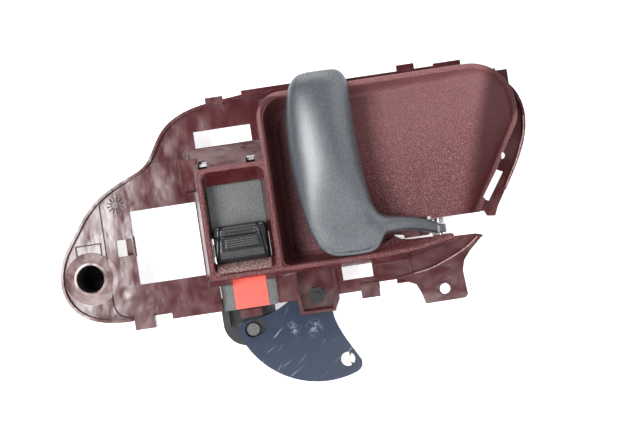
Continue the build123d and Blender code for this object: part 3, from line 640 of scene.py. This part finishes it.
# front of the knob up its middle, before the scoop and the ridges, as (up, height)
KNOB_RUN = [(-3.8, 2.4), (-3.0, 5.6), (-1.0, 7.6), (2.6, 8.5), (5.6, 8.4), (10.4, 7.9), (11.8, 7.5)]
KNOB_RUN += [(13.2, 6.9), (16.2, 6.9), (17.4, 6.5), (18.6, 5.2), (19.3, 2.6)]
KNOB_RIDGES = (18.2, 10.2, 8.8, 7.4, 6.0)
KNOB_RIDGE_X = (84.8, 106.2)
KNOB_RIDGE = (0.40, 0.55)  # height and half width of a ridge
KNOB_TOOTH = 1.1  # spacing of the notches along a ridge
KNOB_SCOOP_X = (82.2, 106.8)
KNOB_SCOOP_DEPTH = 1.5
KNOB_CELL = 0.3
KNOB_FOOT = -3.4
KNOB_TOP_ROUND = 4.0
KNOB_LOW_ROUND = 2.0


def knob_side(z):
    """How far the rounded corners draw the sides of the knob in."""
    for corner, depth in ((KNOB_TOP_ROUND, z - KNOB_Z[1]), (KNOB_LOW_ROUND, KNOB_Z[0] - z)):
        into = min(corner + depth, corner)
        if into > 0:
            return corner - math.sqrt(corner * corner - into * into)
    return 0.0


def knob_height(x, z, side):
    """Front surface of the knob: a raised grip with a finger scoop and ridges, between low shoulders."""
    run = smooth_run(KNOB_RUN, 6)
    low = max((row for row in run if row[0] <= z), key=lambda row: row[0], default=run[0])
    high = min((row for row in run if row[0] >= z), key=lambda row: row[0], default=run[-1])
    gap = high[0] - low[0]
    h = low[1] if gap < 1e-9 else low[1] + (high[1] - low[1]) * (z - low[0]) / gap
    # shoulders: a rounded border, then a step up to the grip, which narrows towards the top
    lean = 1.2 + 0.13 * max(z, 0.0)
    h *= 0.50 + 0.32 * ease(side, 0.0, 1.2) + 0.18 * ease(side, lean, lean + 2.4)
    # finger scoop
    across = inside(x, KNOB_SCOOP_X, 3.4)
    h -= KNOB_SCOOP_DEPTH * across * ease(z, 11.4, 12.9) * (1 - ease(z, 13.1, 16.8))
    # toothed grip ridges
    ends = inside(x, KNOB_RIDGE_X, 1.0)
    teeth = 0.6 + 0.4 * math.cos(2 * math.pi * x / KNOB_TOOTH)
    for ridge in KNOB_RIDGES:
        h += KNOB_RIDGE[0] * ends * teeth * max(0.0, 1 - ((z - ridge) / KNOB_RIDGE[1]) ** 2)
    return h


def make_knob():
    """The knob as a fine height field over its outline, closed behind."""
    columns = round((KNOB_X[1] - KNOB_X[0]) / KNOB_CELL) + 1
    rows = round((KNOB_Z[1] - KNOB_Z[0]) / KNOB_CELL) + 1
    points = []
    for r in range(rows):
        z = KNOB_Z[0] + (KNOB_Z[1] - KNOB_Z[0]) * r / (rows - 1)
        left, right = KNOB_X[0] + knob_side(z), KNOB_X[1] - knob_side(z)
        for c in range(columns):
            x = left + (right - left) * c / (columns - 1)
            points.append(at(x, knob_height(x, z, min(x - left, right - x)), z))
    faces = grid_faces(rows, columns)
    rim = list(range(columns))
    rim += [r * columns + columns - 1 for r in range(1, rows)]
    rim += [(rows - 1) * columns + c for c in range(columns - 2, -1, -1)]
    rim += [r * columns for r in range(rows - 2, 0, -1)]
    base = len(points)
    for index in rim:
        below = points[index].copy()
        below.y = -KNOB_FOOT * MM
        points.append(below)
    for k in range(len(rim)):
        nxt = (k + 1) % len(rim)
        faces.append((rim[k], rim[nxt], base + nxt, base + k))
    faces.append(tuple(range(base, base + len(rim))))
    knob = new_piece("lock_knob_grip", points, faces, "lock_slider", "knob_plastic", 50.0)
    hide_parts("lock_knob")


# ---- small parts ----
SPRING_TURNS = 3.2
SPRING_RADIUS = 2.75
SPRING_WIRE = 0.42  # radius of the wire
SPRING_STEPS = 110
SPRING_TOP = 3.9
SPRING_LENGTH = 2.6


def make_spring():
    """Wire return spring round the hinge pin, with one leg that reaches back along the dish."""
    path = [(HINGE[0] - 9.0, HINGE[1] - 1.8, SPRING_TOP + 0.1)]
    for k in range(SPRING_STEPS + 1):
        turn = 2 * math.pi * SPRING_TURNS * k / SPRING_STEPS - math.pi / 2
        x = HINGE[0] + SPRING_RADIUS * math.cos(turn)
        h = HINGE[1] + SPRING_RADIUS * math.sin(turn)
        path.append((x, h, SPRING_TOP - SPRING_LENGTH * k / SPRING_STEPS))
    curve = bpy.data.curves.new("return_spring_wire", "CURVE")
    curve.dimensions = "3D"
    curve.bevel_depth = SPRING_WIRE * MM
    curve.bevel_resolution = 4
    curve.use_fill_caps = True
    line = curve.splines.new("POLY")
    line.points.add(len(path) - 1)
    for point, place in zip(line.points, path):
        point.co = (*at(*place), 1.0)
    spring = bpy.data.objects.new("return_spring_wire", curve)
    bpy.context.scene.collection.objects.link(spring)
    curve.materials.append(MATERIALS["spring_steel"])
    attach(spring, "root")
    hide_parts("handle_return_spring")


CLIP_NOTCHES = (62.0, -54.0)  # where the head is cut through, in degrees
CLIP_HUB_R = 2.5
CLIP_STEPS = 96
# radius and height round the collar, the head and the top of the clip
CLIP_RINGS = [(0.9, -11.8), (5.9, -11.8), (6.0, -11.6), (6.0, -10.8), (5.8, -10.6), (2.6, -10.55)]
CLIP_RINGS += [(2.6, -10.4), (4.3, -10.35), (4.5, -10.1), (4.5, -8.2), (4.1, -7.7), (2.9, -7.5)]
CLIP_RINGS += [(2.6, -7.9), (2.35, -7.6), (2.1, -6.9), (1.4, -6.8), (0.9, -7.3), (0.9, -11.8)]
CLIP_HUB = [(0.95, -10.0), (2.05, -10.0), (2.05, -7.2), (1.7, -6.75), (1.2, -6.75), (0.95, -7.1)]
CLIP_HUB += CLIP_HUB[:1]


def make_rod_clip():
    """White nylon clip in the lever's rod hole: a notched head, a hub and a collar behind."""
    points = []
    for radius, h in CLIP_RINGS:
        for k in range(CLIP_STEPS):
            angle = 360.0 * k / CLIP_STEPS
            near = min(abs((angle - notch + 180) % 360 - 180) for notch in CLIP_NOTCHES)
            cut = (1 - ease(near, 7.0, 12.0)) * ease(radius, 2.4, 3.0) * ease(h, -10.5, -10.2)
            reach = radius - (radius - CLIP_HUB_R) * cut
            turn = math.radians(angle)
            points.append(at(ROD_HOLE[0] + reach * math.cos(turn), h, ROD_HOLE[1] + reach * math.sin(turn)))
    faces = grid_faces(len(CLIP_RINGS), CLIP_STEPS, closed=True)
    clip = new_piece("rod_clip", points, faces, "lock_crank", "clip_nylon", 40.0)
    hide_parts("lock_rod_clip")
    lathe("rod_clip_hub", ROD_HOLE, CLIP_HUB, "lock_crank", "bush_nylon")


CREST_R = 0.45
CREST_SIDES = 10
LIP_TOP = 3.0
# crests, as (across, up) along the top of each lip
CRESTS = {
    "rail_lip_crest": [
        (198, -27.5), (210, -25.4), (219.6, -21.9), (228, -18.5), (235, -14.5), (240.2, -10.4),
    ],
    "flange_lip_crest": [
        (279.8, 60.0), (278.4, 50.0), (275.4, 42.0), (271.4, 33.0), (266.4, 24.6), (262.3, 17.0),
    ],
}


def make_crest(name, path):
    """A thin rib along a smooth path on a lip, with tapered ends, coloured pale as a painted highlight."""
    run = [Vector((x, LIP_TOP, z)) for x, z in smooth_run(path, 6)]
    last = len(run) - 1
    points = []
    for k, place in enumerate(run):
        along = (run[min(k + 1, last)] - run[max(k - 1, 0)]).normalized()
        across = along.cross(Vector((0, 1, 0))).normalized()
        lift = across.cross(along)
        size = CREST_R * (0.35 if k in (0, last) else 1.0)
        for j in range(CREST_SIDES):
            turn = 2 * math.pi * j / CREST_SIDES
            points.append(at(*(place + size * (math.cos(turn) * across + math.sin(turn) * lift))))
    faces = grid_faces(len(run), CREST_SIDES, closed=True)
    faces.append(tuple(range(CREST_SIDES)))
    faces.append(tuple(range(last * CREST_SIDES, (last + 1) * CREST_SIDES)))
    crest = new_piece(name, points, faces, "root", "bezel_plastic", 50.0)
    # painted highlight: the crest takes the pale material
    crest.data.materials[0] = MATERIALS["painted_highlight_edge"]


DIAL = (20.0, 42.0)  # centre of the date dial, across and up
DIAL_BARS = 12
DIAL_START = 9.0  # direction of the first bar, in degrees
DIAL_CORNERS = ((2.0, 0.32), (2.0, -0.32), (5.3, -0.32), (5.3, 0.32))  # of a bar: out along it, to its side
DIAL_H = (1.3, 1.85)
FRAME_H = (-0.1, 0.45)
# bars of the blank frame: left, right, low, high
FRAME_BARS = [(-9.0, 7.4, 19.3, 20.1), (-9.0, 7.4, 11.0, 11.8)]
FRAME_BARS += [(-9.0, -8.2, 11.8, 19.3), (6.6, 7.4, 11.8, 19.3)]


def make_marks():
    """Moulding marks on the flange: a plain radial dial and a blank frame, coloured dark as painted shade."""
    for k in range(DIAL_BARS):
        turn = math.radians(360 / DIAL_BARS * k + DIAL_START)
        along = (math.cos(turn), math.sin(turn))
        outline = []
        for reach, side in DIAL_CORNERS:
            x = DIAL[0] + reach * along[0] - side * along[1]
            z = DIAL[1] + reach * along[1] + side * along[0]
            outline.append((x, z))
        raised_mark(f"dial_bar_{k + 1}", outline, DIAL_H)
    for k, (left, right, low, high) in enumerate(FRAME_BARS):
        outline = [(left, low), (right, low), (right, high), (left, high)]
        raised_mark(f"frame_bar_{k + 1}", outline, FRAME_H)


# ---- camera, lights, floor and backdrop ----
def make_camera():
    """A long lens straight in front of the flange, rolled so that the part stands tilted in the picture."""
    data = bpy.data.cameras.new("camera")
    data.sensor_width = 36.0
    data.lens = data.sensor_width * CAMERA_DISTANCE / VIEW_WIDTH
    data.clip_start = 0.01
    data.clip_end = 20.0
    camera = bpy.data.objects.new("camera", data)
    turn = Matrix(
        (
            (math.cos(CAMERA_ROLL), math.sin(CAMERA_ROLL), 0.0),
            (0.0, 0.0, -1.0),
            (-math.sin(CAMERA_ROLL), math.cos(CAMERA_ROLL), 0.0),
        )
    )
    place = at(CAMERA_AIM[0], CAMERA_AIM[1] + CAMERA_DISTANCE, CAMERA_AIM[2])
    camera.matrix_world = Matrix.Translation(place) @ turn.to_4x4()
    bpy.context.scene.collection.objects.link(camera)
    bpy.context.scene.camera = camera


# soft boxes: place and aim as layout points, metres across and up, watts
LIGHTS = {
    "key_right": ((900, 640, 640), (140, 0, 20), (1.3, 1.3), 9.0),
    "gloss_left": ((-290, 745, 90), (60, 0, 10), (0.34, 0.30), 6.6),
    "gloss_low": ((262, 745, -200), (170, 0, 10), (0.16, 0.14), 0.9),
    "top_light": ((60, 260, 720), (120, 0, 40), (0.60, 0.40), 2.8),
    "low_fill": ((200, 380, -620), (150, 0, 0), (0.60, 0.40), 1.2),
}
SKY = 0.13  # strength of the even white light from all round
PAPER = (0.93, 0.93, 0.94, 1.0)
FLOOR_GLOW = 0.27
BACKDROP_GLOW = 0.50


def area_light(name, place, aim, size, power):
    """A soft box at place that faces aim."""
    data = bpy.data.lights.new(name, "AREA")
    data.shape = "RECTANGLE"
    data.size, data.size_y = size
    data.energy = power
    light = bpy.data.objects.new(name, data)
    start = at(*place)
    light.location = start
    light.rotation_euler = (at(*aim) - start).to_track_quat("-Z", "Y").to_euler()
    bpy.context.scene.collection.objects.link(light)


def stage_plane(name, corners, material):
    """One flat sheet of the stage."""
    mesh = bpy.data.meshes.new(name)
    mesh.from_pydata([tuple(c) for c in corners], [], [(0, 1, 2, 3)])
    plane = bpy.data.objects.new(name, mesh)
    mesh.materials.append(material)
    bpy.context.scene.collection.objects.link(plane)


def paint_shadow_behind_socket(tree, shader):
    """Paints a shadow on the sheet: it darkens a small disc right behind the screw socket, which would let
    its white through.
    """
    place = tree.nodes.new("ShaderNodeTexCoord")
    away = tree.nodes.new("ShaderNodeVectorMath")
    away.operation = "DISTANCE"
    away.inputs[1].default_value = (DATUM_X * MM, -BACKDROP_H * MM, DATUM_Z * MM)
    inside = tree.nodes.new("ShaderNodeMath")
    inside.operation = "LESS_THAN"
    inside.inputs[1].default_value = SOCKET_SHADE * MM
    tree.links.new(place.outputs["Object"], away.inputs[0])
    tree.links.new(away.outputs["Value"], inside.inputs[0])
    for name, lit in (("Base Color", PAPER), ("Emission Color", (1.0, 1.0, 1.0, 1.0))):
        mix = tree.nodes.new("ShaderNodeMix")
        mix.data_type = "RGBA"
        mix.inputs[6].default_value = lit
        mix.inputs[7].default_value = (0.004, 0.003, 0.003, 1.0)
        tree.links.new(inside.outputs[0], mix.inputs["Factor"])
        tree.links.new(mix.outputs[2], shader.inputs[name])


def paper(name, glow, see_through):
    """White paper that glows a little; the backdrop's rear face lets the other views look through it."""
    material = bpy.data.materials.new(name)
    material.use_nodes = True
    tree = material.node_tree
    shader = tree.nodes["Principled BSDF"]
    shader.inputs["Base Color"].default_value = PAPER
    shader.inputs["Roughness"].default_value = 0.9
    shader.inputs["Specular IOR Level"].default_value = 0.1
    shader.inputs["Emission Color"].default_value = (1.0, 1.0, 1.0, 1.0)
    shader.inputs["Emission Strength"].default_value = glow
    if see_through:
        paint_shadow_behind_socket(tree, shader)
        side = tree.nodes.new("ShaderNodeNewGeometry")
        clear = tree.nodes.new("ShaderNodeBsdfTransparent")
        choose = tree.nodes.new("ShaderNodeMixShader")
        tree.links.new(side.outputs["Backfacing"], choose.inputs[0])
        tree.links.new(shader.outputs[0], choose.inputs[1])
        tree.links.new(clear.outputs[0], choose.inputs[2])
        tree.links.new(choose.outputs[0], tree.nodes["Material Output"].inputs["Surface"])
    return material


def make_stage():
    """World light, soft boxes, the pale floor and the white sheet behind the part."""
    world = bpy.data.worlds.new("studio")
    world.use_nodes = True
    background = world.node_tree.nodes["Background"]
    background.inputs["Color"].default_value = (1.0, 1.0, 1.0, 1.0)
    background.inputs["Strength"].default_value = SKY
    bpy.context.scene.world = world
    bpy.context.scene.view_settings.view_transform = "Standard"
    for name, values in LIGHTS.items():
        area_light(name, *values)
    drop = cad_box[0].z - FLOOR_GAP
    back = -BACKDROP_H * MM
    floor = [(-2.5, -2.5, drop), (2.5, -2.5, drop), (2.5, 2.5, drop), (-2.5, 2.5, drop)]
    stage_plane("floor", floor, paper("floor_paper", FLOOR_GLOW, False))
    sheet = [(-1.2, back, drop), (1.4, back, drop), (1.4, back, 1.2), (-1.2, back, 1.2)]
    stage_plane("backdrop", sheet, paper("backdrop_paper", BACKDROP_GLOW, True))


paint_nodes()
make_handle()
make_knob()
make_spring()
make_rod_clip()
make_marks()
for crest_name, crest_path in CRESTS.items():
    make_crest(crest_name, crest_path)
make_camera()
make_stage()
